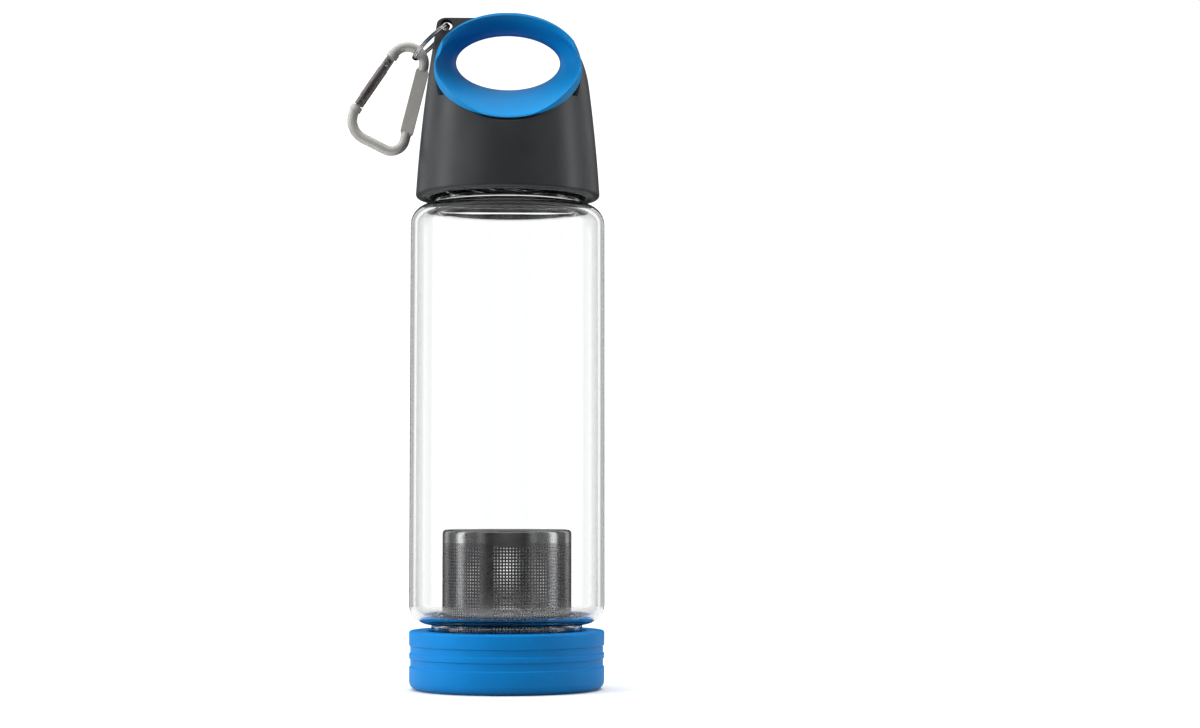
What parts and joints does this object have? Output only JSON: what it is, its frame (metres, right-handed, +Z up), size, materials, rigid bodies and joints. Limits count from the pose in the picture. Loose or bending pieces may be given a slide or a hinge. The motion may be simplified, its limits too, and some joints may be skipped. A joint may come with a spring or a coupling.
{
  "type": "glass water bottle",
  "caption": "Clear glass water bottle with a screw-on base holding a tea infuser, a screw lid with a finger loop, and a small snap hook on a split ring.",
  "frame": {"origin": "centre of the base's underside, on the bottle's axis", "axes": "+Z up along the bottle's axis, front faces -Y, the snap hook hangs on the -X side"},
  "size_m": [0.0931, 0.07, 0.2425],
  "materials": {
    "glass": "clear borosilicate tube, fire-polished lips",
    "blue_plastic": "satin moulded plastic",
    "blue_grip": "satin soft-touch elastomer",
    "grey_plastic": "fine-textured charcoal plastic",
    "liner_plastic": "satin moulded plastic",
    "silicone": "translucent silicone",
    "infuser_steel": "stainless sheet, etched with a grid of small holes",
    "ring_steel": "bright nickel plate",
    "hook_aluminium": "satin aluminium",
    "gate_steel": "polished steel tube"
  },
  "bodies": {
    "base": {"base_cup": "blue_plastic"},
    "lower_seal": {"base_gasket": "silicone"},
    "glass": {"glass_body": "glass"},
    "upper_seal": {"lid_gasket": "silicone"},
    "lid": {"lid_shell": "grey_plastic", "lid_liner": "liner_plastic", "grip_ring": "blue_grip"},
    "infuser": {"infuser_wall": "infuser_steel", "infuser_cap": "infuser_steel", "infuser_rim": "infuser_steel", "infuser_seal": "silicone"},
    "split_ring": {"split_ring": "ring_steel"},
    "carabiner": {"carabiner_body": "hook_aluminium"},
    "gate": {"carabiner_gate": "gate_steel", "gate_rivet": "ring_steel", "gate_latch_pin": "ring_steel", "gate_spring": "ring_steel", "gate_plunger": "ring_steel"}
  },
  "joints": [
    {"name": "base_lift", "type": "slide", "parent": "base", "child": "lower_seal", "axis": [0, 0, 1], "range_m": [0, 0.0151]},
    {"name": "base_turn", "type": "hinge", "parent": "lower_seal", "child": "glass", "pos_m": [0, 0, 0.014], "axis": [0, 0, 1], "range_deg": [0, 1350]},
    {"name": "lid_lift", "type": "slide", "parent": "glass", "child": "upper_seal", "axis": [0, 0, 1], "range_m": [0, 0.0151]},
    {"name": "lid_turn", "type": "hinge", "parent": "upper_seal", "child": "lid", "pos_m": [0, 0, 0.184], "axis": [0, 0, 1], "range_deg": [0, 1350]},
    {"name": "infuser_lift", "type": "slide", "parent": "base", "child": "infuser", "axis": [0, 0, 1], "range_m": [0, 0.06]},
    {"name": "ring_swing", "type": "hinge", "parent": "lid", "child": "split_ring", "pos_m": [-0.0223, 0, 0.2392], "axis": [0, 1, 0], "range_deg": [0, 90]},
    {"name": "hook_swing", "type": "hinge", "parent": "split_ring", "child": "carabiner", "pos_m": [-0.03401, 0, 0.22764], "axis": [0, 1, 0], "range_deg": [0, 45]},
    {"name": "gate_open", "type": "hinge", "parent": "carabiner", "child": "gate", "pos_m": [-0.04399, 0, 0.22531], "axis": [0, -1, 0], "range_deg": [0, 25], "stiffness_Nm_per_rad": 0.006, "springref_deg": -22.92}
  ],
  "couplings": [
    {"joint": "base_lift", "follows": "base_turn", "m_per_rad": 0.00063662},
    {"joint": "lid_lift", "follows": "lid_turn", "m_per_rad": 0.00063662}
  ]
}
